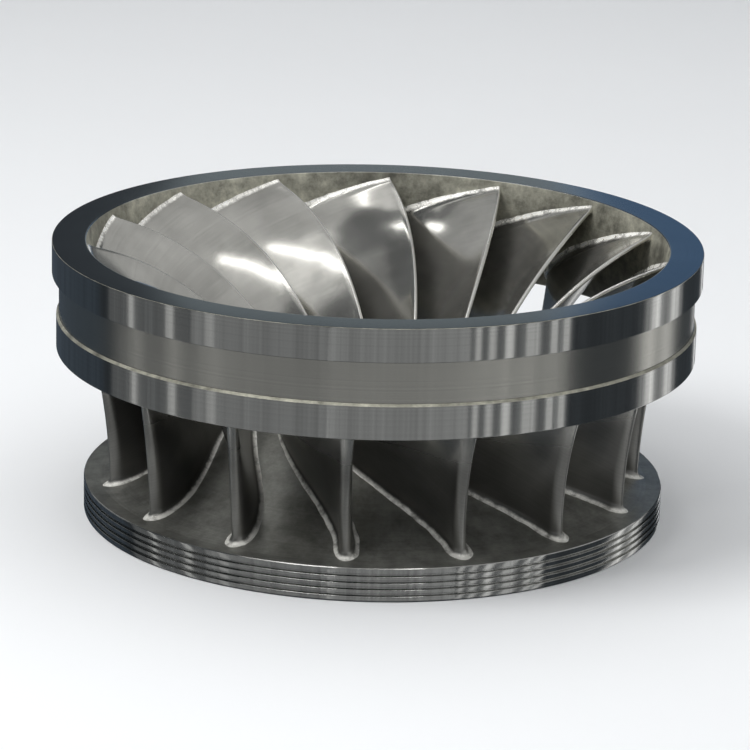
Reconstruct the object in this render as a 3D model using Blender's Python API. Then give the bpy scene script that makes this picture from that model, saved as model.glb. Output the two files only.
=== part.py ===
"""Francis turbine runner, standing crown down with its outlet facing up.

The part is a welded runner: a crown with a central shaft bore, a band round the
outlet, fifteen fixed blades between the two, and the ground rings that seal the
crown and the band in their housing. Metres, +Z up the shaft axis towards the outlet,
origin at the centre of the crown's flat back. The first blade's inlet edge leaves the
crown on the +X side.
"""

import math

import bmesh
import bpy
from mathutils import Vector

# Driving dimensions
BAND_OUTER_R = 0.420
OUTLET_FACE_Z = 0.360
BAND_LOW_Z = 0.219
CROWN_OUTER_R = 0.3785
CROWN_RIM_Z = 0.044
BLADE_COUNT = 15
SHAFT_BORE_R = 0.060

# Fits: touching pieces keep a fine gap, and round pieces share one facet count
SEAM = 0.0003
ROOT_GAP = 0.0008
TURNED_STEPS = 60
FACET_ANGLE = math.radians(35)

# Band and its two ground rings
BAND_THROAT_R = 0.3665
BAND_THROAT_Z = 0.278
BAND_OUTLET_R = 0.376
BAND_LIP_R = 0.392
BAND_WAIST_R = 0.411
RING_SEAT_R = 0.403
UPPER_RING_LOW_Z = 0.317
LOWER_RING_TOP_Z = 0.2645
LOWER_RING_R = 0.4145
EDGE_CHAMFER = 0.0015

# Crown, hub and the grooved seal ring on the crown's rim
CROWN_FLAT_R = 0.361
CROWN_RISE = 0.1092
CROWN_RISE_RUN = 0.210
CROWN_RISE_POWER = 1.5
HUB_FACE_R = 0.098
HUB_FACE_Z = 0.189
HUB_SHOULDER_R = 0.112
SEAL_SEAT_R = 0.358
SEAL_GROOVES = 4
SEAL_GROOVE_DEPTH = 0.004
SEAL_GROOVE_SHARE = 0.42
SEAL_FOOT_Z = 0.0025
BACK_LAND_R = 0.326
HUB_BACK_R = 0.130
CROWN_WEB = 0.044
SPIGOT_R = 0.078
SPIGOT_DEPTH = 0.012

# Blade edges: radius, height and turn about the axis at the crown and at the band
INLET_CROWN_R = 0.3486
INLET_BAND_Z = 0.236
INLET_BOW = -0.006
INLET_BAND_TURN = math.radians(1.4)
INLET_MID_TURN = math.radians(-0.5)
OUTLET_CROWN_R = 0.145
OUTLET_CROWN_TURN = math.radians(-52.0)
OUTLET_BAND_Z = 0.348
OUTLET_BAND_TURN = math.radians(-33.4)
OUTLET_BULGE = (-0.016, 0.026)
CROWN_SWEEP_POWER = 2.5
BAND_SWEEP_POWER = 1.6

# Blade section, and where it is cut along its length and across its span
NOSE_LENGTH = 0.016
THICKEST = 0.017
THICKEST_AT = 0.25
OUTLET_EDGE = 0.0055
FILLET = 0.010
FILLET_AT_OUTLET = 0.4
STATIONS = (0.0, 0.015, 0.045, 0.09, 0.15, 0.25, 0.38, 0.52, 0.65, 0.76, 0.85, 0.93, 1.0)
SPANS = (0.0, 0.018, 0.055, 0.22, 0.5, 0.78, 0.945, 0.982, 1.0)
SLOPE_STEP = 0.002

# Base colour and roughness of each metal finish
FINISHES = {
    "crown_casting": ((0.33, 0.33, 0.31), 0.45),
    "band_casting": ((0.36, 0.36, 0.34), 0.40),
    "ground_steel": ((0.45, 0.45, 0.43), 0.30),
    "polished_blade": ((0.55, 0.54, 0.51), 0.28),
}


def clear_scene():
    """Remove every object that the file opened with."""
    for old in list(bpy.data.objects):
        bpy.data.objects.remove(old, do_unlink=True)


def finish(name):
    """Find or make one of the part's metal finishes."""
    material = bpy.data.materials.get(name)
    if material is None:
        colour, roughness = FINISHES[name]
        material = bpy.data.materials.new(name)
        material.use_nodes = True
        shader = material.node_tree.nodes["Principled BSDF"]
        shader.inputs["Base Color"].default_value = (*colour, 1.0)
        shader.inputs["Roughness"].default_value = roughness
        shader.inputs["Metallic"].default_value = 1.0
    return material


def finished_mesh(name, builder, finish_name):
    """Turn a bmesh into a smooth-shaded mesh with sharp machined edges."""
    bmesh.ops.recalc_face_normals(builder, faces=builder.faces)
    mesh = bpy.data.meshes.new(name)
    builder.to_mesh(mesh)
    builder.free()
    mesh.shade_smooth()
    mesh.set_sharp_from_angle(angle=FACET_ANGLE)
    mesh.materials.append(finish(finish_name))
    return mesh


def add_object(name, mesh):
    """Place a mesh in the scene as one named piece."""
    piece = bpy.data.objects.new(name, mesh)
    bpy.context.scene.collection.objects.link(piece)
    return piece


def turned(name, profile, finish_name):
    """Spin a closed (radius, height) outline once round the shaft axis."""
    builder = bmesh.new()
    points = [builder.verts.new((radius, 0.0, height)) for radius, height in profile]
    edges = [builder.edges.new((points[i - 1], points[i])) for i in range(len(points))]
    bmesh.ops.spin(
        builder,
        geom=points + edges,
        cent=(0.0, 0.0, 0.0),
        axis=(0.0, 0.0, 1.0),
        angle=math.tau,
        steps=TURNED_STEPS,
        use_merge=True,
    )
    return add_object(name, finished_mesh(name, builder, finish_name))


def outside_facets(radius):
    """Radius that puts the flats of a faceted bore on the true circle."""
    return radius / math.cos(math.pi / TURNED_STEPS)


def crown_height(radius):
    """Height of the crown's flow surface at a radius."""
    run = max(CROWN_FLAT_R - radius, 0.0) / CROWN_RISE_RUN
    return CROWN_RIM_Z + CROWN_RISE * run ** CROWN_RISE_POWER


def band_radius(height):
    """Radius of the band's flow surface at a height: a round lip, then a slow flare."""
    if height < BAND_THROAT_Z:
        drop = min((BAND_THROAT_Z - height) / (BAND_THROAT_Z - BAND_LOW_Z), 1.0)
        return BAND_LIP_R - (BAND_LIP_R - BAND_THROAT_R) * math.sqrt(1.0 - drop * drop)
    rise = (height - BAND_THROAT_Z) / (OUTLET_FACE_Z - BAND_THROAT_Z)
    return BAND_THROAT_R + (BAND_OUTLET_R - BAND_THROAT_R) * rise * rise


def crown():
    """Crown casting: flow surface, hub with the shaft bore, and a dished back round the hub."""
    flow_radii = (0.340, 0.318, 0.294, 0.268, 0.241, 0.214, 0.187, 0.160, 0.133)
    dish_radii = (0.140, 0.190, 0.245, 0.301)
    profile = [(SEAL_SEAT_R, 0.0), (SEAL_SEAT_R, CROWN_RIM_Z)]
    profile += [(radius, crown_height(radius)) for radius in flow_radii]
    profile += [(HUB_SHOULDER_R, crown_height(HUB_SHOULDER_R)), (HUB_FACE_R, HUB_FACE_Z)]
    profile += [(SHAFT_BORE_R, HUB_FACE_Z), (SHAFT_BORE_R, SPIGOT_DEPTH)]
    profile += [(SPIGOT_R, SPIGOT_DEPTH), (SPIGOT_R, 0.0), (HUB_BACK_R, 0.0)]
    profile += [(radius, crown_height(radius) - CROWN_WEB) for radius in dish_radii]
    profile += [(BACK_LAND_R, 0.0)]
    return turned("crown", profile, "crown_casting")


def crown_seal_ring():
    """Ground ring on the crown's rim, with the grooves of its labyrinth seal."""
    pitch = (CROWN_RIM_Z - 2.0 * SEAL_FOOT_Z) / (SEAL_GROOVES + 1.0 - SEAL_GROOVE_SHARE)
    groove = pitch * SEAL_GROOVE_SHARE
    low = SEAL_FOOT_Z + pitch - groove
    inner = outside_facets(SEAL_SEAT_R + SEAM)
    profile = [(inner, 0.0), (CROWN_OUTER_R - SEAL_FOOT_Z, 0.0), (CROWN_OUTER_R, SEAL_FOOT_Z)]
    for number in range(SEAL_GROOVES):
        foot = low + number * pitch
        profile += [(CROWN_OUTER_R, foot), (CROWN_OUTER_R - SEAL_GROOVE_DEPTH, foot)]
        top = foot + groove
        profile += [(CROWN_OUTER_R - SEAL_GROOVE_DEPTH, top), (CROWN_OUTER_R, top)]
    profile += [(CROWN_OUTER_R, CROWN_RIM_Z - SEAL_FOOT_Z)]
    profile += [(CROWN_OUTER_R - SEAL_FOOT_Z, CROWN_RIM_Z), (inner, CROWN_RIM_Z)]
    return turned("crown_seal_ring", profile, "ground_steel")


def band():
    """Band round the outlet, waisted between the seats of its two ground rings."""
    lip = [math.radians(angle) for angle in (90, 68, 50, 33, 16)]
    drop = BAND_THROAT_Z - BAND_LOW_Z
    reach = BAND_LIP_R - BAND_THROAT_R
    inside = [(BAND_LIP_R - reach * math.cos(a), BAND_THROAT_Z - drop * math.sin(a)) for a in lip]
    heights = (BAND_THROAT_Z, 0.305, 0.332, OUTLET_FACE_Z)
    inside += [(band_radius(height), height) for height in heights]
    profile = [(outside_facets(radius), height) for radius, height in inside]
    profile += [(RING_SEAT_R, OUTLET_FACE_Z), (RING_SEAT_R, UPPER_RING_LOW_Z)]
    profile += [(BAND_WAIST_R, UPPER_RING_LOW_Z), (BAND_WAIST_R, LOWER_RING_TOP_Z)]
    profile += [(RING_SEAT_R, LOWER_RING_TOP_Z), (RING_SEAT_R, BAND_LOW_Z)]
    return turned("band", profile, "band_casting")


def wear_ring(name, outer, low, high):
    """Ground ring shrunk on the band, with both outer corners chamfered."""
    inner = outside_facets(RING_SEAT_R + SEAM)
    profile = [(inner, low), (outer - EDGE_CHAMFER, low), (outer, low + EDGE_CHAMFER)]
    profile += [(outer, high - EDGE_CHAMFER), (outer - EDGE_CHAMFER, high), (inner, high)]
    return turned(name, profile, "ground_steel")


def stream_point(span, share):
    """Radius and height of one stream line, from the crown (span 0) to the band (span 1).

    The share runs from 0 at the inlet edge to 1 at the outlet edge, and may pass both.
    """
    crown_r = INLET_CROWN_R + (OUTLET_CROWN_R - INLET_CROWN_R) * share
    band_z = INLET_BAND_Z + (OUTLET_BAND_Z - INLET_BAND_Z) * share
    crown_slope = (crown_height(crown_r + SLOPE_STEP) - crown_height(crown_r)) / SLOPE_STEP
    band_slope = (band_radius(band_z + SLOPE_STEP) - band_radius(band_z)) / SLOPE_STEP
    off_crown = Vector((-crown_slope, 1.0)).normalized() * ROOT_GAP
    off_band = Vector((-1.0, band_slope)).normalized() * ROOT_GAP
    at_crown = Vector((crown_r, crown_height(crown_r))) + off_crown
    at_band = Vector((band_radius(band_z), band_z)) + off_band
    middle = 4.0 * span * (1.0 - span)
    bow = Vector((INLET_BOW, 0.0)) * middle * (1.0 - share)
    bulge = Vector(OUTLET_BULGE) * middle * share * abs(share)
    return at_crown.lerp(at_band, span) + bow + bulge


def turn_angle(span, share):
    """Turn of the blade's middle surface about the axis."""
    inlet = INLET_BAND_TURN * span * span + 4.0 * INLET_MID_TURN * span * (1.0 - span)
    outlet = OUTLET_CROWN_TURN + (OUTLET_BAND_TURN - OUTLET_CROWN_TURN) * span
    power = CROWN_SWEEP_POWER + (BAND_SWEEP_POWER - CROWN_SWEEP_POWER) * span
    return inlet + (outlet - inlet) * max(share, 0.0) ** power


def half_thickness(share, run):
    """Half of the blade's thickness at a share of its length and a run from its nose."""
    taper = max(share - THICKEST_AT, 0.0) / (1.0 - THICKEST_AT)
    body = THICKEST + (OUTLET_EDGE - THICKEST) * taper
    nose = min(run / NOSE_LENGTH, 1.0)
    return 0.5 * body * math.sqrt(1.0 - (1.0 - nose) ** 2)


def fillet_width(span):
    """Width that the weld fillets at the crown and the band add to each side."""
    height = (stream_point(1.0, 0.3) - stream_point(0.0, 0.3)).length
    left = max(FILLET - min(span, 1.0 - span) * height, 0.0)
    return FILLET - math.sqrt(FILLET * FILLET - left * left)


def place(span, share, turn):
    """Point in space on a stream line."""
    radius, height = stream_point(span, share)
    return Vector((radius * math.cos(turn), radius * math.sin(turn), height))


def blade_section(span):
    """Left side, middle and right side of the blade along one stream line."""
    flare = fillet_width(span)
    left, middle, right = [], [], []
    run = 0.0
    for share in STATIONS:
        ahead = share + SLOPE_STEP
        radius = stream_point(span, share).x
        turn = turn_angle(span, share)
        meridian = (stream_point(span, ahead) - stream_point(span, share)).length / SLOPE_STEP
        around = radius * (turn_angle(span, ahead) - turn) / SLOPE_STEP
        length = math.hypot(meridian, around)
        here = place(span, share, turn)
        if not middle:
            here = place(span, -flare / meridian, turn)
            middle.append(here)
            start = place(span, 0.0, turn)
            continue
        run += (here - start).length
        start = here
        middle.append(here)
        flare_left = 1.0 - (1.0 - FILLET_AT_OUTLET) * share * share
        half = half_thickness(share, run) + flare * flare_left
        slide = half * around / length / meridian
        spread = half * meridian / length / radius
        left.append(place(span, share + slide, turn - spread))
        right.append(place(span, share - slide, turn + spread))
    return left, middle, right


def blade_mesh():
    """Mesh of one blade: stacked sections from the crown's flow surface to the band's."""
    builder = bmesh.new()
    rows = []
    for span in SPANS:
        left, middle, right = blade_section(span)
        if 0.0 < span < 1.0:
            middle = [middle[0], middle[-1]]
        rows.append([[builder.verts.new(point) for point in rail] for rail in (left, middle, right)])
    for lower, upper in zip(rows, rows[1:]):
        low, high = (
            [middle[0], *right, middle[-1], *reversed(left)] for left, middle, right in (lower, upper)
        )
        for i in range(len(low)):
            builder.faces.new((low[i - 1], low[i], high[i], high[i - 1]))
    for left, middle, right in (rows[0], rows[-1]):
        builder.faces.new((middle[0], left[0], middle[1]))
        builder.faces.new((middle[0], middle[1], right[0]))
        for i in range(1, len(left)):
            builder.faces.new((left[i - 1], left[i], middle[i + 1], middle[i]))
            builder.faces.new((middle[i], middle[i + 1], right[i], right[i - 1]))
    return finished_mesh("blade", builder, "polished_blade")


def blades():
    """Set the like blades evenly round the axis."""
    mesh = blade_mesh()
    for number in range(BLADE_COUNT):
        piece = add_object(f"blade_{number + 1:02d}", mesh)
        piece.rotation_euler.z = math.tau * number / BLADE_COUNT


def main():
    """Build the whole runner."""
    clear_scene()
    crown()
    crown_seal_ring()
    band()
    wear_ring("band_upper_ring", BAND_OUTER_R, UPPER_RING_LOW_Z + SEAM, OUTLET_FACE_Z)
    wear_ring("band_lower_ring", LOWER_RING_R, BAND_LOW_Z, LOWER_RING_TOP_Z - SEAM)
    blades()


main()
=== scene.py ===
"""Looks of the Francis turbine runner: finely turned crown, band and seal rings, polished
blades with dressed welds, and a pale studio. Metres, +Z up the shaft axis.
"""

import math

import bmesh
import bpy
import numpy as np
from bpy.props import FloatProperty, FloatVectorProperty, IntProperty, PointerProperty
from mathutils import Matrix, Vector, noise


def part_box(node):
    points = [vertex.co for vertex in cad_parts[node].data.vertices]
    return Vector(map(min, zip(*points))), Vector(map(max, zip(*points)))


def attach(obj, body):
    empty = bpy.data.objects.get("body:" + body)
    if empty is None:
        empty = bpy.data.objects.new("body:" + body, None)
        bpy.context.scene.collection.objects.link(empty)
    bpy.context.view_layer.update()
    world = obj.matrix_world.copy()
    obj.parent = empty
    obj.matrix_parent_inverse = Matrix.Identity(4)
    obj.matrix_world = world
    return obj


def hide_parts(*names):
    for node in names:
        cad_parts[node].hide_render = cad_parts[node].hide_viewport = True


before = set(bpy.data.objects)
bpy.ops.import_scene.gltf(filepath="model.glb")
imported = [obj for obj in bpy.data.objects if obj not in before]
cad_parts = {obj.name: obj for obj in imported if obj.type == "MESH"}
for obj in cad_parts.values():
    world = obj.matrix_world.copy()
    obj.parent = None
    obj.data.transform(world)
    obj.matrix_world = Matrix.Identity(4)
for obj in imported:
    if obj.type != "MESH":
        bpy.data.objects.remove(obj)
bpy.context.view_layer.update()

bl_info = {
    "name": "Francis turbine runner",
    "version": (1, 0, 0),
    "blender": (4, 5, 0),
    "location": "3D View > Sidebar > Runner",
    "description": "Builds the finished pieces of a Francis turbine runner and its studio",
    "category": "Add Mesh",
}

# Flow surfaces of the crown and the band, as the solids have them
CROWN_RIM_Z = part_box("crown_seal_ring")[1].z
BAND_THROAT_R = 0.3665
BAND_THROAT_Z = 0.278
BAND_OUTLET_R = 0.376
BAND_LIP_R = 0.392
BAND_WAIST_R = 0.411
RING_SEAT_R = 0.403
CROWN_FLAT_R = 0.361
CROWN_FLOW_START_R = 0.357
CROWN_RISE = 0.1092
CROWN_RISE_RUN = 0.210
CROWN_RISE_POWER = 1.5
HUB_FACE_R = 0.098
HUB_FACE_Z = 0.189
HUB_SHOULDER_R = 0.112
SEAL_SEAT_R = 0.358
SEAL_GROOVES = 4
SEAL_GROOVE_DEPTH = 0.004
SEAL_GROOVE_SHARE = 0.42
SEAL_FOOT_Z = 0.0025
BACK_LAND_R = 0.326
HUB_BACK_R = 0.130
DISH_INNER_R = 0.140
DISH_OUTER_R = 0.301
CROWN_WEB = 0.044
SPIGOT_R = 0.078
SPIGOT_DEPTH = 0.012

# Blade edges and section, as the solids have them
INLET_CROWN_R = 0.3486
INLET_BAND_Z = 0.236
INLET_BOW = -0.006
INLET_BAND_TURN = math.radians(1.4)
INLET_MID_TURN = math.radians(-0.5)
OUTLET_CROWN_R = 0.145
OUTLET_CROWN_TURN = math.radians(-52.0)
OUTLET_BAND_Z = 0.348
OUTLET_BAND_TURN = math.radians(-33.4)
OUTLET_BULGE = (-0.016, 0.026)
CROWN_SWEEP_POWER = 2.5
BAND_SWEEP_POWER = 1.6
NOSE_LENGTH = 0.016
THICKEST_AT = 0.25
FILLET_AT_OUTLET = 0.4

# Added to the solids' shapes: the blades reach just into the walls, their tails are round, the
# lower ring has a wide bevel, and the welds are lumpy, most of all round the noses
ROOT_SINK = 0.0003
TAIL_ROUNDING = 0.35
LEDGE_BEVEL = 0.003
COARSE_LUMPS_PER_METRE = 55.0
FINE_LUMPS_PER_METRE = 170.0
LUMP_DEPTH = 0.16
NOSE_LUMP_DEPTH = 0.3
NOSE_LUMP_REACH = 0.02

# Chart of a blade's faces: run from the nose, and a height that counts from the crown
CHART_HEIGHT = 0.3
FILLET_REACH = 1.15

# Blades are dull low down and polished above, and their base colour is painted darker low down as
# shade in the passages. Their noses carry a painted highlight, and their welds are lighter partly as
# freshly ground metal and partly as a painted highlight: fully so up to one distance from the nose
# or the wall, and not at all past another
DULL_AND_SHADED_BELOW = 0.15
POLISHED_AND_LIT_ABOVE = 0.215
NOSE_LIGHT_END = 0.014
NOSE_LIGHT_FULL = 0.006
WELD_LIGHT_END = 0.0065
WELD_LIGHT_FULL = 0.002

# Grain of the finishes, as noise scales, and how far it is stretched along the strokes
TURNING_MARKS = 420.0
# Scales of the bars round the axis, which are partly chatter marks and partly painted reflection
# streaks
WIDE_CHATTER_AND_STREAKS = 9.0
FINE_CHATTER_AND_STREAKS = 42.0
SMUDGES = 7.0
OXIDE_SPOTS = 38.0
POLISHING_STROKES = (6.0, 240.0, 1.0)
POLISHING_CLOUDS = 11.0
POLISHING_WAVES = 24.0
WELD_GRAIN = 75.0

# Direction in which turned metal blurs what it mirrors: a quarter turn from its marks
BLUR_TURN = 0.25

# How finely the pieces are made
TURNED_STEPS = 360
FACET_ANGLE = math.radians(32)
FLOW_STEPS = 40
ROUNDING_STEPS = 3
NOSE_STEPS = 10
BODY_STEPS = 44
TAIL_STEPS = 4
FILLET_ROWS = 8
BODY_ROWS = 26
ROW_CROWDING = 1.6
CAMBER_SAMPLES = 161
SLOPE_STEP = 0.0005
TANGENT_STEP = 0.001
STUDIO_CURVE_STEPS = 12
STUDIO_TURN_STEPS = 96

# Camera: where it stands round the axis, and how it is held
CAMERA_TURN = math.radians(-90.98)
CAMERA_RISE = math.radians(16.54)
CAMERA_ROLL = math.radians(1.39)
CAMERA_DISTANCE = 5.0
CAMERA_AIM_Z = 0.178

# Lights that show only in the metal, all at one distance from the runner. Each has a turn to
# the right of the camera, a rise above the floor, a width and a height, all in degrees, and a
# brightness
PANEL_DISTANCE = 5.0
PANELS = (
    ("ceiling", 80.0, 65.0, 100.0, 100.0, 0.45),
    ("left_box", -45.0, 52.0, 28.0, 26.0, 0.62),
    ("back_box", -138.0, 60.0, 18.0, 14.0, 0.9),
    ("right_board", 100.0, 14.0, 70.0, 24.0, 0.3),
    ("left_board", -78.0, 30.0, 26.0, 36.0, 0.2),
    ("left_back_board", -138.0, 30.0, 36.0, 36.0, 0.3),
    ("front_board", 8.0, -11.0, 46.0, 38.0, 0.3),
    ("left_front_board", -40.0, -11.0, 48.0, 38.0, 0.25),
    ("right_front_board", 49.0, -11.0, 36.0, 38.0, 0.11),
    ("right_back_board", 117.0, -11.0, 26.0, 38.0, 0.3),
    ("rear_board", 172.0, -11.0, 34.0, 38.0, 0.22),
    ("bar_1", 34.0, -11.0, 2.0, 38.0, 0.65),
    ("bar_2", 39.0, -11.0, 2.4, 38.0, 0.6),
    ("bar_3", 45.0, -11.0, 3.2, 38.0, 0.65),
    ("bar_4", 53.5, -11.0, 5.5, 38.0, 0.45),
    ("bar_5", 61.5, -11.0, 2.2, 38.0, 0.65),
    ("bar_6", 66.5, -11.0, 2.4, 38.0, 0.7),
    ("bar_7", 110.5, -11.0, 5.0, 38.0, 0.9),
    ("bar_8", 124.0, -11.0, 6.0, 38.0, 0.6),
    ("left_low_board", -84.0, -11.0, 38.0, 38.0, 0.12),
    ("bar_9", -73.0, -11.0, 3.6, 38.0, 0.55),
    ("bar_10", -84.0, -11.0, 3.5, 38.0, 0.6),
    ("bar_11", -91.0, -11.0, 3.0, 38.0, 0.55),
    ("bar_12", -57.0, -11.0, 3.0, 38.0, 0.25),
    ("bar_13", 160.0, -11.0, 3.0, 38.0, 0.7),
    ("bar_14", 180.0, -11.0, 4.0, 38.0, 0.5),
)
# Bright tubes among them, with a last column for how far each one's right end is raised
TUBES = (
    ("left_tube", -48.5, 58.0, 30.0, 2.6, 6.0, 50.0),
    ("front_tube", 9.0, 59.5, 26.0, 2.6, 6.0, 38.0),
    ("back_left_tube", -132.0, 63.0, 12.0, 2.0, 4.0, 0.0),
    ("back_left_lamp", -116.0, 47.0, 9.0, 2.2, 6.0, 42.0),
)
# Coloured panels, with a last column for the tint
TINTED_PANELS = (
    ("back_board", 180.0, 15.0, 12.0, 16.0, 0.24, (0.85, 0.97, 1.0)),
    ("back_right_board", 166.0, 15.0, 16.0, 16.0, 0.2, (0.2, 0.5, 1.0)),
    ("left_far_board", -140.0, -11.0, 60.0, 38.0, 0.035, (0.4, 0.65, 1.0)),
)

# Studio: a round floor whose edge curves up into a wall, two lights that only the floor sees,
# placed as the panels are, and the faint light of the air
STUDIO_RADIUS = 10.0
STUDIO_CURVE = 3.0
STUDIO_WALL = 4.0
KEY_PLACE = (-60.0, 52.0, 26.0, 26.0)
OVERHEAD_PLACE = (0.0, 90.0, 90.0, 90.0)
AIR_COLOUR = (0.75, 0.87, 1.0, 1.0)
AIR_STRENGTH = 0.06
SENSOR_WIDTH = 36.0
WHITE = (1.0, 1.0, 1.0)


class RunnerSizes(bpy.types.PropertyGroup):
    """Sizes of the runner that a user may change."""

    band_radius: FloatProperty(
        name="Band Radius",
        description="Outside radius of the upper ground ring",
        default=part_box("band_upper_ring")[1].x,
        unit="LENGTH",
    )
    outlet_height: FloatProperty(
        name="Outlet Height",
        description="Height of the outlet face above the crown's back",
        default=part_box("band")[1].z,
        unit="LENGTH",
    )
    upper_ring_low: FloatProperty(
        name="Upper Ring Low Edge",
        description="Height of the lower edge of the upper ground ring",
        default=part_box("band_upper_ring")[0].z,
        unit="LENGTH",
    )
    lower_ring_top: FloatProperty(
        name="Lower Ring Top Edge",
        description="Height of the upper edge of the lower ground ring",
        default=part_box("band_lower_ring")[1].z,
        unit="LENGTH",
    )
    lower_ring_radius: FloatProperty(
        name="Lower Ring Radius",
        description="Outside radius of the lower ground ring",
        default=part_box("band_lower_ring")[1].x,
        unit="LENGTH",
    )
    band_low: FloatProperty(
        name="Band Low Edge",
        description="Height of the band's lower edge",
        default=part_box("band")[0].z,
        unit="LENGTH",
    )
    crown_radius: FloatProperty(
        name="Crown Radius",
        description="Outside radius of the crown's seal ring",
        default=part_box("crown_seal_ring")[1].x,
        unit="LENGTH",
    )
    crown_rim: FloatProperty(
        name="Crown Rim Height",
        description="Height of the crown's rim",
        default=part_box("crown_seal_ring")[1].z,
        unit="LENGTH",
    )
    bore_radius: FloatProperty(
        name="Shaft Bore Radius",
        description="Radius of the bore for the shaft",
        default=0.060,
        unit="LENGTH",
    )
    blade_count: IntProperty(
        name="Blades",
        description="Number of blades round the axis",
        default=sum(name.startswith("blade_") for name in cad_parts),
    )
    blade_thickness: FloatProperty(
        name="Blade Thickness",
        description="Greatest thickness of a blade behind its rounded nose",
        default=0.017,
        unit="LENGTH",
    )
    outlet_edge: FloatProperty(
        name="Outlet Edge",
        description="Thickness of a blade at its outlet edge",
        default=0.0055,
        unit="LENGTH",
    )
    weld_fillet: FloatProperty(
        name="Weld Fillet",
        description="Size of the weld fillets between the blades and the walls",
        default=0.010,
        unit="LENGTH",
    )
    edge_rounding: FloatProperty(
        name="Edge Rounding",
        description="Size of the broken corners of the turned pieces",
        default=0.0012,
        unit="LENGTH",
    )


class RunnerFinish(bpy.types.PropertyGroup):
    """Colours of the runner's metal finishes."""

    ring_colour: FloatVectorProperty(
        name="Ground Rings",
        description="Base colour of the ground seal rings",
        default=(0.45, 0.45, 0.43),
        subtype="COLOR",
    )
    waist_colour: FloatVectorProperty(
        name="Band Waist",
        description="Base colour of the turned waist of the band",
        default=(0.50, 0.49, 0.445),
        subtype="COLOR",
    )
    # The outlet face's cool tint is a painted reflection of blue surroundings, over grey steel
    face_colour: FloatVectorProperty(
        name="Outlet Face",
        description="Base colour of the faced outlet end of the band",
        default=(0.38, 0.40, 0.41),
        subtype="COLOR",
    )
    blade_colour: FloatVectorProperty(
        name="Blades",
        description="Base colour of the polished blades",
        default=(0.56, 0.55, 0.51),
        subtype="COLOR",
    )
    # The outlet edges are lighter partly as dressed metal and partly as a painted highlight along them
    edge_colour: FloatVectorProperty(
        name="Outlet Edges",
        description="Base colour of the dressed outlet edges of the blades",
        default=(0.74, 0.73, 0.69),
        subtype="COLOR",
    )
    crown_colour: FloatVectorProperty(
        name="Crown",
        description="Base colour of the crown's flow surface",
        default=(0.28, 0.28, 0.255),
        subtype="COLOR",
    )
    band_flow_colour: FloatVectorProperty(
        name="Inside of the Band",
        description="Base colour of the band's flow surface",
        default=(0.40, 0.39, 0.32),
        subtype="COLOR",
    )


class RunnerStudio(bpy.types.PropertyGroup):
    """Floor, light and lens of the studio."""

    floor_colour: FloatVectorProperty(
        name="Floor",
        description="Colour of the studio's floor and wall",
        default=(0.86, 0.87, 0.88),
        subtype="COLOR",
    )
    key_brightness: FloatProperty(
        name="Key Light",
        description="Brightness of the large light from the left, which only the floor sees",
        default=6.6,
    )
    overhead_brightness: FloatProperty(
        name="Overhead Light",
        description="Brightness of the wide overhead light, which only the floor sees",
        default=1.22,
    )
    lens: FloatProperty(
        name="Lens",
        description="Focal length of the camera, in millimetres",
        default=184.0,
    )


class Wire:
    """A node's output socket that takes part in sums: each operator adds a Math node."""

    def __init__(self, tree, socket=None):
        self.tree = tree
        self.socket = socket

    def node(self, kind, settings=None, inputs=None, output=0):
        """Add a node, set its settings, then fill or link its sockets."""
        made = self.tree.nodes.new(kind)
        for key, value in (settings or {}).items():
            setattr(made, key, value)
        for key, value in (inputs or {}).items():
            if isinstance(value, Wire):
                self.tree.links.new(value.socket, made.inputs[key])
            else:
                made.inputs[key].default_value = value
        return Wire(self.tree, made.outputs[output])

    def maths(self, operation, first, second=0.0):
        """Add one Math node."""
        return self.node("ShaderNodeMath", {"operation": operation}, {0: first, 1: second})

    def __add__(self, other):
        return self.maths("ADD", self, other)

    def __radd__(self, other):
        return self.maths("ADD", other, self)

    def __sub__(self, other):
        return self.maths("SUBTRACT", self, other)

    def __rsub__(self, other):
        return self.maths("SUBTRACT", other, self)

    def __mul__(self, other):
        return self.maths("MULTIPLY", self, other)

    def __rmul__(self, other):
        return self.maths("MULTIPLY", other, self)

    def __truediv__(self, other):
        return self.maths("DIVIDE", self, other)

    def __rtruediv__(self, other):
        return self.maths("DIVIDE", other, self)

    def __pow__(self, other):
        return self.maths("POWER", self, other)


def start_material(name):
    """Make an empty metal, and return it with its shader node and a wire to build from."""
    material = bpy.data.materials.new(name)
    material.use_nodes = True
    shader = material.node_tree.nodes["Principled BSDF"]
    shader.inputs["Metallic"].default_value = 1.0
    return material, shader, Wire(material.node_tree)


def connect(shader, name, wire):
    """Feed one socket of the shader."""
    shader.id_data.links.new(wire.socket, shader.inputs[name])


def tinted(wire, colour, brightness):
    """A colour multiplied by a grey value that varies over the surface."""
    # The colour sockets go by number, because this node has several of each name
    factor, first, second, result = 0, 6, 7, 2
    return wire.node(
        "ShaderNodeMix",
        {"data_type": "RGBA", "blend_type": "MULTIPLY"},
        {factor: 1.0, first: (*colour, 1.0), second: brightness},
        output=result,
    )


def grain(wire, place, scale, detail, roughness):
    """Noise over a surface, from 0 to 1."""
    inputs = {"Vector": place, "Scale": scale, "Detail": detail, "Roughness": roughness}
    return wire.node("ShaderNodeTexNoise", {"noise_dimensions": "3D"}, inputs)


def faded(wire, value, start, end, interpolation="LINEAR"):
    """A mask that goes from 0 to 1 while a value goes from start to end."""
    return wire.node(
        "ShaderNodeMapRange",
        {"interpolation_type": interpolation},
        {"Value": value, "From Min": start, "From Max": end},
    )


def bumped(wire, height, strength, distance, **below):
    """A bump from a height, on top of another one where that is given as Normal."""
    inputs = {"Strength": strength, "Distance": distance, "Height": height}
    return wire.node("ShaderNodeBump", inputs=inputs | below)


def parts(wire):
    """The three numbers of a vector."""
    split = wire.node("ShaderNodeSeparateXYZ", inputs={0: wire})
    return [Wire(wire.tree, socket) for socket in split.socket.node.outputs]


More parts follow.
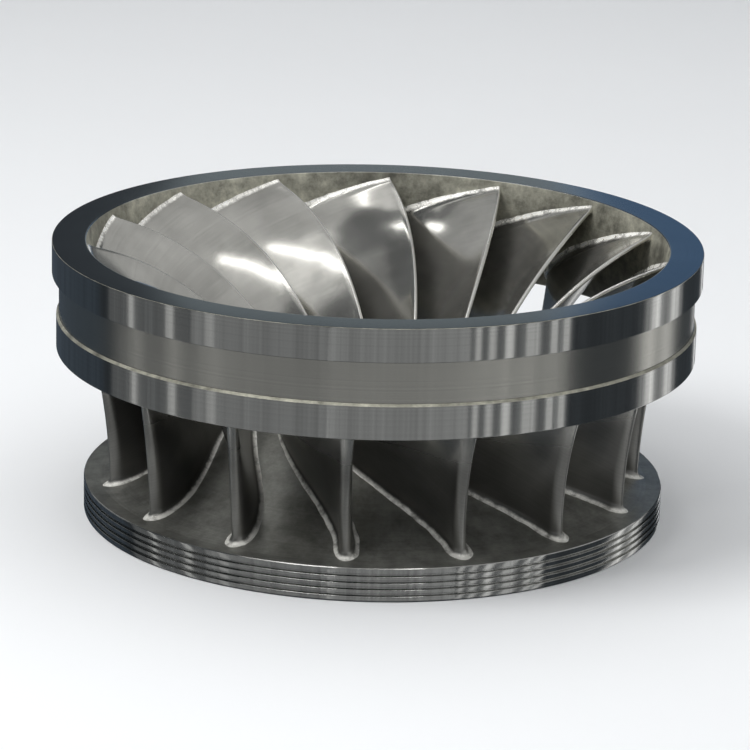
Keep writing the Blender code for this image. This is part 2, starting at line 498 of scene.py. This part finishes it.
def axis_coordinates(wire):
    """Position, radius from the shaft axis, height, and direction round the axis."""
    place = wire.node("ShaderNodeTexCoord", output="Object")
    x, y, z = parts(place)
    radius = (x * x + y * y) ** 0.5
    around = wire.node("ShaderNodeCombineXYZ", inputs={0: x / radius, 1: y / radius})
    return place, radius, z, around


def turned_steel(name, colour, roughness, chatter_and_streaks=0.3, stains=0.3, anisotropy=0.5, oxide=0.0):
    """Turned or ground steel: fine rings, bars round the axis that are partly chatter marks and
    partly painted reflection streaks, and matt oxide.
    """
    material, shader, wire = start_material(name)
    place, radius, z, around = axis_coordinates(wire)
    wide = grain(wire, around, WIDE_CHATTER_AND_STREAKS, 4.0, 0.75)
    fine = grain(wire, around, FINE_CHATTER_AND_STREAKS, 2.0, 0.6)
    smudge = grain(wire, place, SMUDGES, 3.0, 0.6)
    rings = wire.node(
        "ShaderNodeTexNoise",
        {"noise_dimensions": "1D"},
        {"W": radius + z, "Scale": TURNING_MARKS, "Detail": 3.0, "Roughness": 0.7},
    )
    # Bars round the axis: partly chatter marks, partly painted reflection streaks that line up on
    # every ring as mirrored lamps do
    chatter_and_streak_pattern = wide * 0.6 + fine * 0.4
    brightness = 1.0 + (chatter_and_streak_pattern - 0.5) * chatter_and_streaks + (rings - 0.5) * 0.25 + (smudge - 0.5) * stains
    if oxide:
        spots = grain(wire, place, OXIDE_SPOTS, 5.0, 0.75)
        brightness = brightness * (1.0 + (spots - 0.5) * oxide * 5.5)
        connect(shader, "Metallic", 1.0 - oxide * (spots * 1.2 + smudge * 0.8))
        connect(shader, "Normal", bumped(wire, spots, 0.2, 0.0006))
    connect(shader, "Base Color", tinted(wire, colour, brightness))
    connect(shader, "Roughness", roughness + (smudge - 0.5) * 0.06)
    shader.inputs["Anisotropic"].default_value = anisotropy
    shader.inputs["Anisotropic Rotation"].default_value = BLUR_TURN
    return material


def polished_steel(name, colour, roughness, chart_top):
    """Hand-polished steel with soft clouds, fine strokes along the flow, and matt welds, with painted
    shade low down and painted highlights on the noses and welds.
    """
    material, shader, wire = start_material(name)
    place = wire.node("ShaderNodeTexCoord", output="Object")
    stream = wire.node("ShaderNodeUVMap", {"uv_map": "Stream"})
    stretched = wire.node(
        "ShaderNodeVectorMath", {"operation": "MULTIPLY"}, {0: stream, 1: POLISHING_STROKES}
    )
    strokes = grain(wire, stretched, 1.0, 3.0, 0.6)
    clouds = grain(wire, place, POLISHING_CLOUDS, 3.0, 0.55)
    waves = grain(wire, place, POLISHING_WAVES, 1.0, 0.4)
    lumps = grain(wire, place, WELD_GRAIN, 4.0, 0.75)

    along, across, _ = parts(stream)
    # Polish mask: the blades are rougher low down, and their base colour is painted darker there as
    # shade in the passages
    polish_and_painted_light = faded(wire, parts(place)[2], DULL_AND_SHADED_BELOW, POLISHED_AND_LIT_ABOVE, "SMOOTHSTEP")
    # A painted highlight along the noses
    nose = faded(wire, along.maths("ABSOLUTE", along), NOSE_LIGHT_END, NOSE_LIGHT_FULL)
    middle = chart_top / 2
    from_middle = across - middle
    from_middle = from_middle.maths("ABSOLUTE", from_middle)
    weld = faded(wire, from_middle, middle - WELD_LIGHT_END, middle - WELD_LIGHT_FULL)
    # Weld beads: matt and rough, and lighter partly as freshly ground metal and partly as a painted
    # highlight
    bead_and_highlight = faded(wire, weld * (lumps * 2.4 - 0.1), 0.35, 1.3, "SMOOTHSTEP")

    # Base colour with painted shade low down and painted highlights on the noses and welds
    brightness = 0.34 + polish_and_painted_light * 0.6 + nose * 0.22 + bead_and_highlight * 1.1
    brightness = brightness * (1.0 + (clouds - 0.5) * 1.1 + (strokes - 0.5) * 0.3)
    connect(shader, "Base Color", tinted(wire, colour, brightness))
    connect(shader, "Metallic", 0.86 - bead_and_highlight * 0.62)
    dull = (1.0 - polish_and_painted_light) * 0.16 + bead_and_highlight * 0.15
    connect(shader, "Roughness", roughness + dull + (clouds - 0.5) * 0.05)
    waved = bumped(wire, waves, 0.12, 0.002)
    connect(shader, "Normal", bumped(wire, lumps * weld, 0.5, 0.0012, Normal=waved))
    return material


def finishes(context):
    """Find or make the runner's finishes, by name."""
    look = context.scene.runner_finish
    chart_top = CHART_HEIGHT + FILLET_REACH * context.scene.runner_sizes.weld_fillet
    makers = {
        # The ground rings' strong bars are painted reflection streaks on top of chatter marks
        "ground_ring": lambda name: turned_steel(
            name, look.ring_colour, roughness=0.12, chatter_and_streaks=1.7, stains=0.1, anisotropy=1.0
        ),
        "turned_waist": lambda name: turned_steel(name, look.waist_colour, roughness=0.25),
        # Faced outlet end, its cool tint a painted reflection of blue surroundings
        "faced_outlet": lambda name: turned_steel(
            name, look.face_colour, roughness=0.18, chatter_and_streaks=0.25
        ),
        "crown_flow": lambda name: turned_steel(
            name, look.crown_colour, roughness=0.4, stains=1.1, anisotropy=0.4, oxide=0.24
        ),
        "band_flow": lambda name: turned_steel(
            name, look.band_flow_colour, roughness=0.4, chatter_and_streaks=0.4, stains=2.0, anisotropy=0.2, oxide=0.5
        ),
        # Dressed outlet edges, their light colour partly a painted highlight
        "dressed_edge": lambda name: turned_steel(
            name, look.edge_colour, roughness=0.28, chatter_and_streaks=0.4, anisotropy=0.0
        ),
        "blade_polish": lambda name: polished_steel(
            name, look.blade_colour, roughness=0.15, chart_top=chart_top
        ),
    }
    return {name: bpy.data.materials.get(name) or make(name) for name, make in makers.items()}


def crown_height(radius):
    """Height of the crown's flow surface at a radius."""
    run = np.maximum(CROWN_FLAT_R - radius, 0.0) / CROWN_RISE_RUN
    return CROWN_RIM_Z + CROWN_RISE * run**CROWN_RISE_POWER


def band_radius(height, sizes):
    """Radius of the band's flow surface at a height: a round lip, then a slow flare."""
    drop = np.clip((BAND_THROAT_Z - height) / (BAND_THROAT_Z - sizes.band_low), 0.0, 1.0)
    lip = BAND_LIP_R - (BAND_LIP_R - BAND_THROAT_R) * np.sqrt(1.0 - drop * drop)
    rise = (height - BAND_THROAT_Z) / (sizes.outlet_height - BAND_THROAT_Z)
    flare = BAND_THROAT_R + (BAND_OUTLET_R - BAND_THROAT_R) * rise * rise
    return np.where(height < BAND_THROAT_Z, lip, flare)


def rounded(outline):
    """Round the corners of a closed (radius, height, rounding) outline."""
    points = []
    for i, (radius, height, rounding) in enumerate(outline):
        corner = Vector((radius, height))
        if not rounding:
            points.append(corner)
            continue
        before = Vector(outline[i - 1][:2]) - corner
        after = Vector(outline[(i + 1) % len(outline)][:2]) - corner
        start = corner + before.normalized() * min(rounding, before.length / 2)
        end = corner + after.normalized() * min(rounding, after.length / 2)
        for step in range(ROUNDING_STEPS + 1):
            t = step / ROUNDING_STEPS
            points.append(start.lerp(corner, t).lerp(corner.lerp(end, t), t))
    return points


def spun(outline, steps, closed):
    """Spin an outline of radii and heights once round the shaft axis, always in one order."""
    builder = bmesh.new()
    turns = [math.tau * step / steps for step in range(steps)]
    rings = [
        [builder.verts.new((r * math.cos(turn), r * math.sin(turn), z)) for r, z in outline]
        for turn in turns
    ]
    for ring, after in zip(rings, rings[1:] + rings[:1]):
        pairs = list(zip(ring, after))
        following = pairs[1:] + pairs[:1] if closed else pairs[1:]
        for (start, end), (start_above, end_above) in zip(pairs, following):
            builder.faces.new((start, end, end_above, start_above))
    return builder


def turned_piece(context, name, outline, finish_of, slot, *nodes):
    """Spin an outline round the shaft axis into a piece that stands for its solids."""
    builder = spun(rounded(outline), TURNED_STEPS, closed=True)
    bmesh.ops.recalc_face_normals(builder, faces=builder.faces)
    names = []
    for face in builder.faces:
        middle = face.calc_center_median()
        out = Vector((middle.x, middle.y, 0.0)).normalized()
        finish = finish_of(middle.z, out.dot(face.normal), face.normal.z)
        if finish not in names:
            names.append(finish)
        face.material_index = names.index(finish)
    piece = add_piece(context, name, builder, names, nodes)
    shading = piece.modifiers.new("flat_between_corners", "WEIGHTED_NORMAL")
    shading.keep_sharp = True


def add_piece(context, name, builder, finish_names, nodes):
    """Turn a bmesh into a piece that rides on the runner and stands for its solids."""
    mesh = bpy.data.meshes.new(name)
    builder.to_mesh(mesh)
    builder.free()
    mesh.shade_smooth()
    mesh.set_sharp_from_angle(angle=FACET_ANGLE)
    known = finishes(context)
    for finish in finish_names:
        mesh.materials.append(known[finish])
    piece = bpy.data.objects.new(name, mesh)
    context.scene.collection.objects.link(piece)
    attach(piece, "root")
    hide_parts(*nodes)
    return piece


def stream_point(span, share, sizes):
    """Radius and height of a point between the crown (span 0) and the band (span 1)."""
    crown_r = INLET_CROWN_R + (OUTLET_CROWN_R - INLET_CROWN_R) * share
    band_z = INLET_BAND_Z + (OUTLET_BAND_Z - INLET_BAND_Z) * share
    crown_slope = (crown_height(crown_r + SLOPE_STEP) - crown_height(crown_r)) / SLOPE_STEP
    band_slope = band_radius(band_z + SLOPE_STEP, sizes) - band_radius(band_z, sizes)
    band_slope = band_slope / SLOPE_STEP
    crown_side = np.hypot(crown_slope, 1.0)
    band_side = np.hypot(band_slope, 1.0)
    foot_r = crown_r + ROOT_SINK * crown_slope / crown_side
    foot_z = crown_height(crown_r) - ROOT_SINK / crown_side
    top_r = band_radius(band_z, sizes) + ROOT_SINK / band_side
    top_z = band_z - ROOT_SINK * band_slope / band_side
    middle = 4.0 * span * (1.0 - span)
    bow = INLET_BOW * middle * (1.0 - share)
    bulge = middle * share * np.abs(share)
    radius = foot_r + (top_r - foot_r) * span + bow + OUTLET_BULGE[0] * bulge
    height = foot_z + (top_z - foot_z) * span + OUTLET_BULGE[1] * bulge
    return radius, height


def turn_angle(span, share):
    """Turn of the blade's middle surface about the axis."""
    inlet = INLET_BAND_TURN * span * span + 4.0 * INLET_MID_TURN * span * (1.0 - span)
    outlet = OUTLET_CROWN_TURN + (OUTLET_BAND_TURN - OUTLET_CROWN_TURN) * span
    power = CROWN_SWEEP_POWER + (BAND_SWEEP_POWER - CROWN_SWEEP_POWER) * span
    return inlet + (outlet - inlet) * np.maximum(share, 0.0) ** power


def blade_rows(fillet):
    """Rows of a blade's mesh: the distance from each wall, or the share of the way between."""
    shares = [(i / FILLET_ROWS) ** ROW_CROWDING for i in range(FILLET_ROWS + 1)]
    near = [fillet * FILLET_REACH * share for share in shares]
    middle = [(i + 1) / BODY_ROWS for i in range(BODY_ROWS - 1)]
    rows = [(distance, 0.0) for distance in near]
    rows += [(near[-1], share) for share in middle]
    rows += [(distance, 1.0) for distance in reversed(near)]
    return rows


def row_span(distance, way, share, sizes):
    """Span of a row at each share of the blade's length."""
    foot_r, foot_z = stream_point(0.0, np.maximum(share, 0.0), sizes)
    top_r, top_z = stream_point(1.0, np.maximum(share, 0.0), sizes)
    inset = distance / np.hypot(top_r - foot_r, top_z - foot_z)
    return inset + (1.0 - 2.0 * inset) * way


def section_outline(length, sizes):
    """One side of a blade's section: run from the nose, half thickness, and its normal."""
    angles = np.linspace(0.0, math.pi / 2, NOSE_STEPS + 1)
    edge = TAIL_ROUNDING * sizes.outlet_edge
    nose = NOSE_LENGTH * (1.0 - np.cos(angles))
    tail_angles = np.linspace(0.0, math.pi / 2, TAIL_STEPS + 1)
    tail = length - edge + edge * np.sin(tail_angles)
    body = np.linspace(NOSE_LENGTH, length - edge, BODY_STEPS + 1)[1:-1]
    run = np.concatenate([nose, body, tail])
    taper = np.maximum(run / length - THICKEST_AT, 0.0) / (1.0 - THICKEST_AT)
    full = sizes.blade_thickness + (sizes.outlet_edge - sizes.blade_thickness) * taper
    rounding = np.ones_like(run)
    rounding[: len(angles)] = np.sin(angles)
    half = 0.5 * full * rounding
    half[-len(tail_angles) :] -= edge * (1.0 - np.cos(tail_angles))
    ahead = np.zeros_like(run)
    aside = np.ones_like(run)
    lean = np.hypot(0.5 * full[: len(angles)] * np.cos(angles), NOSE_LENGTH * np.sin(angles))
    ahead[: len(angles)] = -0.5 * full[: len(angles)] * np.cos(angles) / lean
    aside[: len(angles)] = NOSE_LENGTH * np.sin(angles) / lean
    return run, half, ahead, aside


def weld_lumps(number, side, run):
    """Unevenness of a dressed weld along its run, strongest round the blade's nose."""
    # The last two coordinates give each weld of each blade lumps of its own
    lumps = []
    for place in run:
        coarse = Vector((place * COARSE_LUMPS_PER_METRE, side * 9.0, number * 3.7))
        fine = Vector((place * FINE_LUMPS_PER_METRE, side * 5.0, number * 7.1))
        depth = LUMP_DEPTH + NOSE_LUMP_DEPTH * math.exp(-abs(place) / NOSE_LUMP_REACH)
        lumps.append(1.0 + depth * (noise.noise(coarse) + 0.5 * noise.noise(fine)))
    return np.array(lumps)


def blade_loop(number, distance, way, sizes):
    """Points round one row of a blade, from the outlet edge to the nose and back."""
    share = np.linspace(0.0, 1.0, CAMBER_SAMPLES)
    span = row_span(distance, way, share, sizes)
    radius, height = stream_point(span, share, sizes)
    turn = turn_angle(span, share)
    line = np.stack([radius * np.cos(turn), radius * np.sin(turn), height], -1)
    reach = np.concatenate([[0.0], np.cumsum(np.linalg.norm(np.diff(line, axis=0), axis=1))])
    run, half, ahead, aside = section_outline(reach[-1], sizes)
    left = max(sizes.weld_fillet - distance, 0.0)
    flare = sizes.weld_fillet - math.sqrt(sizes.weld_fillet**2 - left**2)
    if 0.0 < way < 1.0:
        flare = 0.0
    points, stream = [], []
    for side in (-1.0, 1.0):
        shrink = 1.0 - (1.0 - FILLET_AT_OUTLET) * (run / reach[-1]) ** 2
        wide = flare * shrink * weld_lumps(number, way + 2.0, side * run)
        moved = run + wide * ahead
        offset = half + wide * aside
        first_step = reach[1] / share[1]
        along = np.where(moved < 0.0, moved / first_step, np.interp(moved, reach, share))
        row = row_span(distance, way, along, sizes)
        r, z = stream_point(row, along, sizes)
        r2, z2 = stream_point(row, along + TANGENT_STEP, sizes)
        angle = turn_angle(row, along)
        meridian = np.hypot(r2 - r, z2 - z) / TANGENT_STEP
        round_axis = r * (turn_angle(row, along + TANGENT_STEP) - angle) / TANGENT_STEP
        length = np.hypot(meridian, round_axis)
        slide = -side * offset * round_axis / length / meridian
        spread = side * offset * meridian / length / r
        r, z = stream_point(row, along + slide, sizes)
        angle = angle + spread
        points.append(np.stack([r * np.cos(angle), r * np.sin(angle), z], -1))
        rise = distance if way == 0.0 else CHART_HEIGHT * way
        if way == 1.0:
            rise += FILLET_REACH * sizes.weld_fillet - distance
        stream.append(np.stack([side * run, np.full_like(run, rise)], -1))
    loop = np.concatenate([points[0][::-1], points[1][1:]])
    chart = np.concatenate([stream[0][::-1], stream[1][1:]])
    return loop, chart


def blade_mesh(number, sizes):
    """Mesh of one blade, closed at the outlet edge and where it enters the walls."""
    rows = [blade_loop(number, *row, sizes) for row in blade_rows(sizes.weld_fillet)]
    builder = bmesh.new()
    layer = builder.loops.layers.uv.new("Stream")
    angle = math.tau * number / sizes.blade_count
    spin = np.array(
        [
            [math.cos(angle), math.sin(angle), 0.0],
            [-math.sin(angle), math.cos(angle), 0.0],
            [0.0, 0.0, 1.0],
        ]
    )
    charts = {}
    grid = []
    for loop, chart in rows:
        line = []
        for point, place in zip(loop @ spin, chart):
            vertex = builder.verts.new(point)
            charts[vertex] = place
            line.append(vertex)
        grid.append(line)
    count = len(grid[0])
    for low, high in zip(grid, grid[1:]):
        for i in range(count):
            j = (i + 1) % count
            face = builder.faces.new((low[i], low[j], high[j], high[i]))
            # Faces round the outlet edge take the second finish: dressed metal with a painted
            # highlight
            face.material_index = int(i < TAIL_STEPS or i >= count - 1 - TAIL_STEPS)
    half = count // 2
    for line in (grid[0], grid[-1]):
        for i in range(half - 1):
            builder.faces.new((line[i], line[i + 1], line[-2 - i], line[-1 - i]))
        builder.faces.new((line[half - 1], line[half], line[half + 1]))
    bmesh.ops.recalc_face_normals(builder, faces=builder.faces)
    for face in builder.faces:
        for corner in face.loops:
            corner[layer].uv = charts[corner.vert]
    return builder


class RUNNER_OT_crown(bpy.types.Operator):
    """Build the crown casting with its flow surface, hub, bore and dished back"""

    bl_idname = "runner.crown"
    bl_label = "Crown"

    def execute(self, context):
        sizes = context.scene.runner_sizes
        soft = sizes.edge_rounding
        flow = np.linspace(CROWN_FLOW_START_R, HUB_SHOULDER_R, FLOW_STEPS)[1:]
        outline = [(SEAL_SEAT_R, 0.0, 0.0), (SEAL_SEAT_R, sizes.crown_rim, 0.0)]
        outline += [(r, float(crown_height(r)), 0.0) for r in flow]
        outline += [(HUB_FACE_R, HUB_FACE_Z, soft * 3), (sizes.bore_radius, HUB_FACE_Z, soft * 2)]
        outline += [(sizes.bore_radius, SPIGOT_DEPTH, soft), (SPIGOT_R, SPIGOT_DEPTH, 0.0)]
        outline += [(SPIGOT_R, 0.0, soft), (HUB_BACK_R, 0.0, soft * 2)]
        dish = np.linspace(DISH_INNER_R, DISH_OUTER_R, FLOW_STEPS // 2)
        outline += [(r, float(crown_height(r)) - CROWN_WEB, 0.0) for r in dish]
        outline += [(BACK_LAND_R, 0.0, soft)]

        def finish_of(height, outward, upward):
            return "crown_flow" if upward > 0.1 else "turned_waist"

        turned_piece(context, "crown_casting", outline, finish_of, "crown_casting", "crown")
        return {"FINISHED"}


class RUNNER_OT_crown_seal(bpy.types.Operator):
    """Build the ground ring on the crown's rim with its labyrinth grooves"""

    bl_idname = "runner.crown_seal"
    bl_label = "Crown Seal Ring"

    def execute(self, context):
        sizes = context.scene.runner_sizes
        soft = sizes.edge_rounding
        outer = sizes.crown_radius
        pitch = (sizes.crown_rim - 2.0 * SEAL_FOOT_Z) / (SEAL_GROOVES + 1.0 - SEAL_GROOVE_SHARE)
        groove = pitch * SEAL_GROOVE_SHARE
        outline = [(SEAL_SEAT_R, 0.0, 0.0), (outer, 0.0, SEAL_FOOT_Z)]
        for number in range(SEAL_GROOVES):
            foot = SEAL_FOOT_Z + pitch * (number + 1) - groove
            outline += [(outer, foot, soft * 0.6), (outer - SEAL_GROOVE_DEPTH, foot, soft * 0.6)]
            top = foot + groove
            outline += [(outer - SEAL_GROOVE_DEPTH, top, soft * 0.6), (outer, top, soft * 0.6)]
        outline += [(outer, sizes.crown_rim, SEAL_FOOT_Z), (SEAL_SEAT_R, sizes.crown_rim, 0.0)]

        def finish_of(height, outward, upward):
            on_top = upward > 0.9 and height > sizes.crown_rim - 0.001
            return "crown_flow" if on_top else "ground_ring"

        turned_piece(
            context, "crown_labyrinth_ring", outline, finish_of, "ground_steel", "crown_seal_ring"
        )
        return {"FINISHED"}


class RUNNER_OT_band(bpy.types.Operator):
    """Build the band round the outlet with its lip, flare, waist and faced end"""

    bl_idname = "runner.band"
    bl_label = "Band"

    def execute(self, context):
        sizes = context.scene.runner_sizes
        soft = sizes.edge_rounding
        drop = BAND_THROAT_Z - sizes.band_low
        reach = BAND_LIP_R - BAND_THROAT_R
        outline = [(RING_SEAT_R, sizes.band_low, 0.0)]
        for angle in np.linspace(math.pi / 2, 0.0, FLOW_STEPS // 2)[:-1]:
            radius = BAND_LIP_R - reach * math.cos(angle)
            outline.append((radius, BAND_THROAT_Z - drop * math.sin(angle), 0.0))
        flare = np.linspace(BAND_THROAT_Z, sizes.outlet_height, FLOW_STEPS // 3)
        outline += [(float(band_radius(z, sizes)), z, 0.0) for z in flare[:-1]]
        outline += [(BAND_OUTLET_R, sizes.outlet_height, soft * 1.5)]
        outline += [(RING_SEAT_R, sizes.outlet_height, 0.0), (RING_SEAT_R, sizes.upper_ring_low, 0.0)]
        outline += [(BAND_WAIST_R, sizes.upper_ring_low, soft * 0.5)]
        outline += [(BAND_WAIST_R, sizes.lower_ring_top, soft * 0.5)]
        outline += [(RING_SEAT_R, sizes.lower_ring_top, 0.0)]

        def finish_of(height, outward, upward):
            if upward > 0.5 and height > sizes.outlet_height - 0.004:
                return "faced_outlet"
            return "turned_waist" if outward > 0.0 else "band_flow"

        turned_piece(context, "band_casting", outline, finish_of, "band_casting", "band")
        return {"FINISHED"}


class RUNNER_OT_band_rings(bpy.types.Operator):
    """Build the two ground rings round the band"""

    bl_idname = "runner.band_rings"
    bl_label = "Band Rings"

    def execute(self, context):
        sizes = context.scene.runner_sizes
        soft = sizes.edge_rounding

        def finish_of(height, outward, upward):
            if upward > 0.9 and height > sizes.outlet_height - 0.001:
                return "faced_outlet"
            on_bevel = height > sizes.lower_ring_top - LEDGE_BEVEL and 0.5 < upward < 0.9
            return "band_flow" if on_bevel else "ground_ring"

        low, high, outer = sizes.upper_ring_low, sizes.outlet_height, sizes.band_radius
        upper = [(RING_SEAT_R, low, 0.0), (outer, low, soft)]
        upper += [(outer, high, soft), (RING_SEAT_R, high, 0.0)]
        low, high, outer = sizes.band_low, sizes.lower_ring_top, sizes.lower_ring_radius
        lower = [(RING_SEAT_R, low, 0.0), (outer, low, soft), (outer, high - LEDGE_BEVEL, 0.0)]
        lower += [(outer - LEDGE_BEVEL, high, 0.0), (RING_SEAT_R, high, 0.0)]
        for name, outline in (("upper", upper), ("lower", lower)):
            node = f"band_{name}_ring"
            turned_piece(context, f"band_{name}_land", outline, finish_of, "ground_steel", node)
        return {"FINISHED"}


class RUNNER_OT_blades(bpy.types.Operator):
    """Build the polished blades with their dressed weld fillets"""

    bl_idname = "runner.blades"
    bl_label = "Blades"

    def execute(self, context):
        sizes = context.scene.runner_sizes
        for number in range(sizes.blade_count):
            node = f"blade_{number + 1:02d}"
            builder = blade_mesh(number, sizes)
            looks = ["blade_polish", "dressed_edge"]
            add_piece(context, f"{node}_polished", builder, looks, [node])
        return {"FINISHED"}


def aim(item, target):
    """Turn a light or camera towards a point."""
    item.rotation_euler = (Vector(target) - item.location).to_track_quat("-Z", "Y").to_euler()


def around_camera(turn, rise, distance):
    """Place at a turn to the right of the camera and a rise above the floor, in degrees."""
    angle = CAMERA_TURN + math.radians(turn)
    rise = math.radians(rise)
    flat = distance * math.cos(rise)
    return Vector((flat * math.cos(angle), flat * math.sin(angle), distance * math.sin(rise)))


def light_panel(context, name, turn, rise, wide, tall, brightness, tint=WHITE, lean=0.0):
    """Add a rectangular light that faces the runner, its sizes in degrees as seen from there."""
    lamp = bpy.data.lights.new(name, "AREA")
    lamp.shape = "RECTANGLE"
    lamp.size = 2.0 * PANEL_DISTANCE * math.tan(math.radians(wide) / 2)
    lamp.size_y = 2.0 * PANEL_DISTANCE * math.tan(math.radians(tall) / 2)
    lamp.energy = brightness * math.pi * lamp.size * lamp.size_y
    lamp.color = tint
    item = bpy.data.objects.new(name, lamp)
    item.location = around_camera(turn, rise, PANEL_DISTANCE)
    item.visible_camera = False
    context.scene.collection.objects.link(item)
    aim(item, (0.0, 0.0, 0.0))
    item.rotation_euler.rotate_axis("Z", math.radians(lean))
    return item


def studio_paper(context):
    """Matt pale paper for the floor and the wall, faintly uneven."""
    material = bpy.data.materials.new("studio_paper")
    material.use_nodes = True
    shader = material.node_tree.nodes["Principled BSDF"]
    shader.inputs["Roughness"].default_value = 0.9
    wire = Wire(material.node_tree)
    place = wire.node("ShaderNodeTexCoord", output="Object")
    fibre = grain(wire, place, 2.0, 4.0, 0.5)
    colour = context.scene.runner_studio.floor_colour
    connect(shader, "Base Color", tinted(wire, colour, 1.0 + (fibre - 0.5) * 0.02))
    return material


def studio_floor(context):
    """Add the round floor whose edge curves up into a wall."""
    outline = [(0.0, 0.0)]
    for step in range(STUDIO_CURVE_STEPS + 1):
        angle = math.pi / 2 * step / STUDIO_CURVE_STEPS
        radius = STUDIO_RADIUS - STUDIO_CURVE + STUDIO_CURVE * math.sin(angle)
        outline.append((radius, STUDIO_CURVE - STUDIO_CURVE * math.cos(angle)))
    outline.append((STUDIO_RADIUS, STUDIO_CURVE + STUDIO_WALL))
    builder = spun(outline, STUDIO_TURN_STEPS, closed=False)
    bmesh.ops.remove_doubles(builder, verts=builder.verts, dist=0.0001)
    mesh = bpy.data.meshes.new("studio_floor")
    builder.to_mesh(mesh)
    builder.free()
    mesh.shade_smooth()
    mesh.materials.append(studio_paper(context))
    floor = bpy.data.objects.new("studio_floor", mesh)
    floor.visible_glossy = False
    context.scene.collection.objects.link(floor)


def studio_lights(context):
    """Add the lights that the metal mirrors, and the two that only the floor sees."""
    studio = context.scene.runner_studio
    for panel in PANELS + TINTED_PANELS:
        light_panel(context, *panel).visible_diffuse = False
    for *panel, lean in TUBES:
        light_panel(context, *panel, lean=lean).visible_diffuse = False
    key = light_panel(context, "key", *KEY_PLACE, studio.key_brightness)
    key.visible_glossy = False
    overhead = light_panel(context, "overhead", *OVERHEAD_PLACE, studio.overhead_brightness)
    overhead.visible_glossy = False
    world = bpy.data.worlds.new("studio_air")
    world.use_nodes = True
    air = world.node_tree.nodes["Background"]
    air.inputs["Color"].default_value = AIR_COLOUR
    air.inputs["Strength"].default_value = AIR_STRENGTH
    context.scene.world = world


def studio_camera(context):
    """Add the camera that looks down on the runner from the front."""
    camera = bpy.data.objects.new("camera", bpy.data.cameras.new("camera"))
    camera.data.lens = context.scene.runner_studio.lens
    camera.data.sensor_width = SENSOR_WIDTH
    camera.location = around_camera(0.0, math.degrees(CAMERA_RISE), CAMERA_DISTANCE)
    camera.location.z += CAMERA_AIM_Z
    context.scene.collection.objects.link(camera)
    aim(camera, (0.0, 0.0, CAMERA_AIM_Z))
    camera.rotation_euler.rotate_axis("Z", CAMERA_ROLL)
    context.scene.camera = camera


class RUNNER_OT_studio(bpy.types.Operator):
    """Build the pale studio with its soft lights and the camera"""

    bl_idname = "runner.studio"
    bl_label = "Studio"

    def execute(self, context):
        studio_floor(context)
        studio_lights(context)
        studio_camera(context)
        context.scene.view_settings.view_transform = "Standard"
        return {"FINISHED"}


class RUNNER_PT_panel(bpy.types.Panel):
    """Lists the runner's pieces and settings"""

    bl_idname = "RUNNER_PT_panel"
    bl_label = "Francis Runner"
    bl_space_type = "VIEW_3D"
    bl_region_type = "UI"
    bl_category = "Runner"

    def draw(self, context):
        for group_name in GROUPS:
            group = getattr(context.scene, group_name)
            box = self.layout.box()
            for name in group.bl_rna.properties.keys():
                if name not in ("rna_type", "name"):
                    box.prop(group, name)
        for operator in OPERATORS:
            self.layout.operator(operator.bl_idname)


OPERATORS = (
    RUNNER_OT_crown,
    RUNNER_OT_crown_seal,
    RUNNER_OT_band,
    RUNNER_OT_band_rings,
    RUNNER_OT_blades,
    RUNNER_OT_studio,
)
GROUPS = {"runner_sizes": RunnerSizes, "runner_finish": RunnerFinish, "runner_studio": RunnerStudio}


def register():
    """Register the classes and hang the settings on the scene."""
    for group in (*GROUPS.values(), *OPERATORS, RUNNER_PT_panel):
        bpy.utils.register_class(group)
    for name, group in GROUPS.items():
        setattr(bpy.types.Scene, name, PointerProperty(type=group))


def unregister():
    """Remove the settings and the classes again."""
    for name in GROUPS:
        delattr(bpy.types.Scene, name)
    for group in reversed((*GROUPS.values(), *OPERATORS, RUNNER_PT_panel)):
        bpy.utils.unregister_class(group)


def main():
    """Build every piece, then the studio."""
    register()
    bpy.ops.runner.crown()
    bpy.ops.runner.crown_seal()
    bpy.ops.runner.band()
    bpy.ops.runner.band_rings()
    bpy.ops.runner.blades()
    bpy.ops.runner.studio()


if __name__ == "__main__":
    main()
